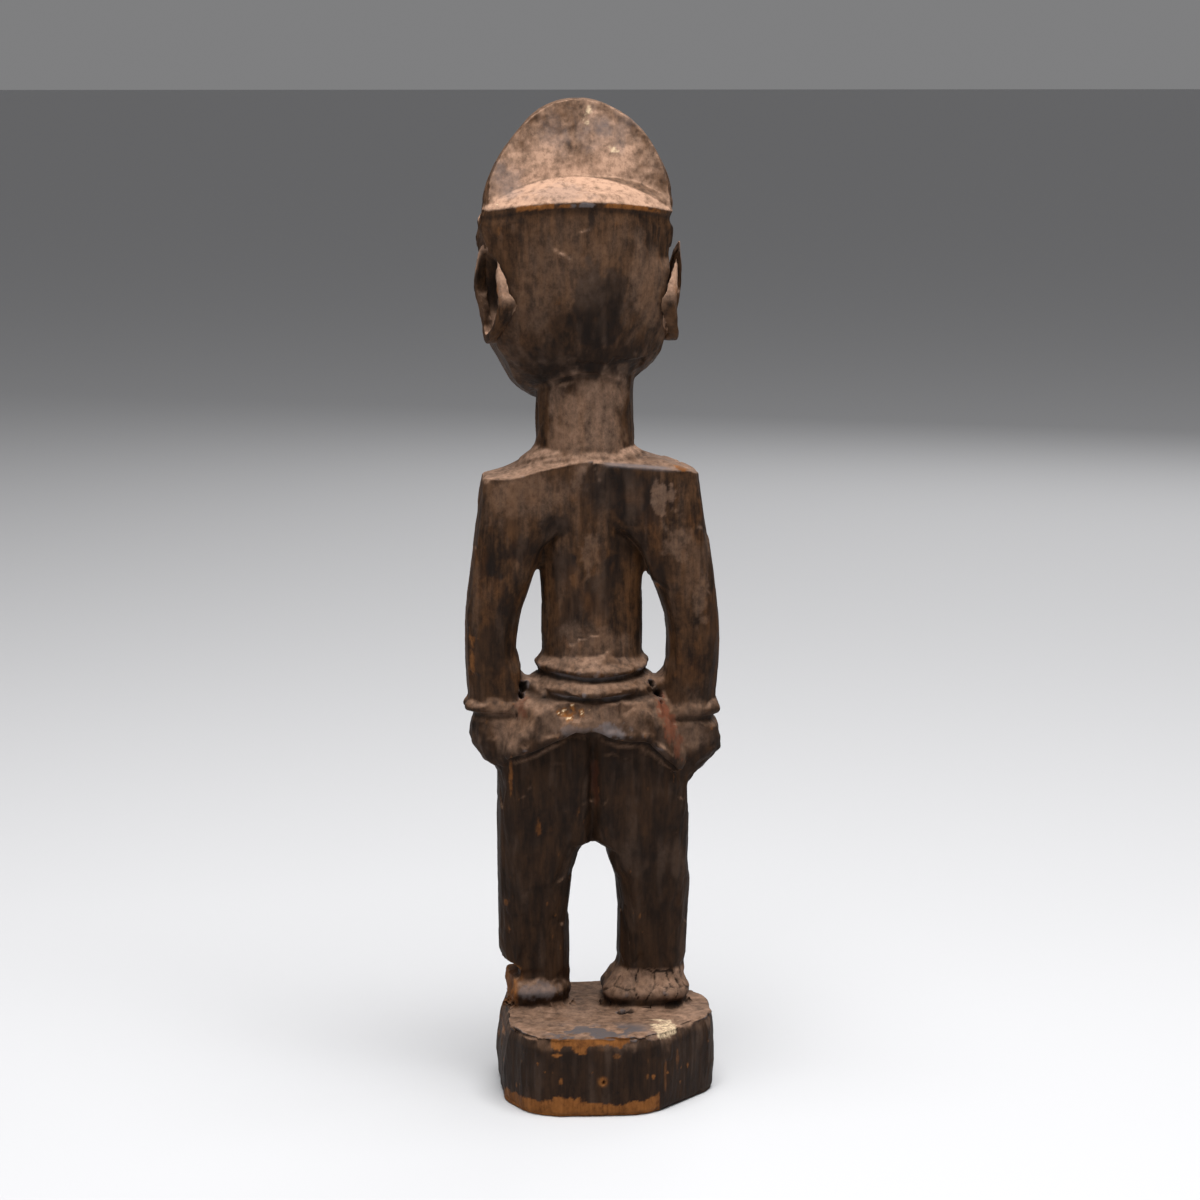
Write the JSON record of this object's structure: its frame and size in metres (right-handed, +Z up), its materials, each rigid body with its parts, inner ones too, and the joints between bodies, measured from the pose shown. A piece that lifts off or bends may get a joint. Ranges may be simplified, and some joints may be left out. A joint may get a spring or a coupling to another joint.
{
  "type": "carved standing figure",
  "caption": "Standing carved wooden figure on a low round plinth, arms hanging straight to the hips, long neck, large head with domed hair cut flat behind.",
  "frame": {"origin": "on the ground, under the middle of the figure's box", "axes": "+Z up; the figure faces -Y; +X is the figure's own left"},
  "size_m": [0.0667, 0.056, 0.26],
  "materials": {
    "patinated_wood": "dark handled patina over carved hardwood, low sheen",
    "dusty_wood": "dark hardwood with pale dust on the faces that look up",
    "worn_plinth_wood": "dark hardwood with raw orange wood where the edges are chipped",
    "reddened_wood": "dark hardwood with traces of red powder in the creases"
  },
  "bodies": {
    "root": {"plinth": "worn_plinth_wood", "left_foot": "dusty_wood", "right_foot": "dusty_wood", "left_leg": "patinated_wood", "right_leg": "patinated_wood", "hips": "patinated_wood", "lower_waist_ring": "patinated_wood", "upper_waist_ring": "patinated_wood", "torso": "patinated_wood", "left_arm": "patinated_wood", "right_arm": "patinated_wood", "left_bracelet": "reddened_wood", "right_bracelet": "reddened_wood", "left_hand": "reddened_wood", "right_hand": "reddened_wood", "neck": "patinated_wood", "head": "patinated_wood", "left_ear": "patinated_wood", "right_ear": "patinated_wood", "rear_hair_shelf": "dusty_wood", "hair_crest": "dusty_wood"}
  },
  "joints": []
}
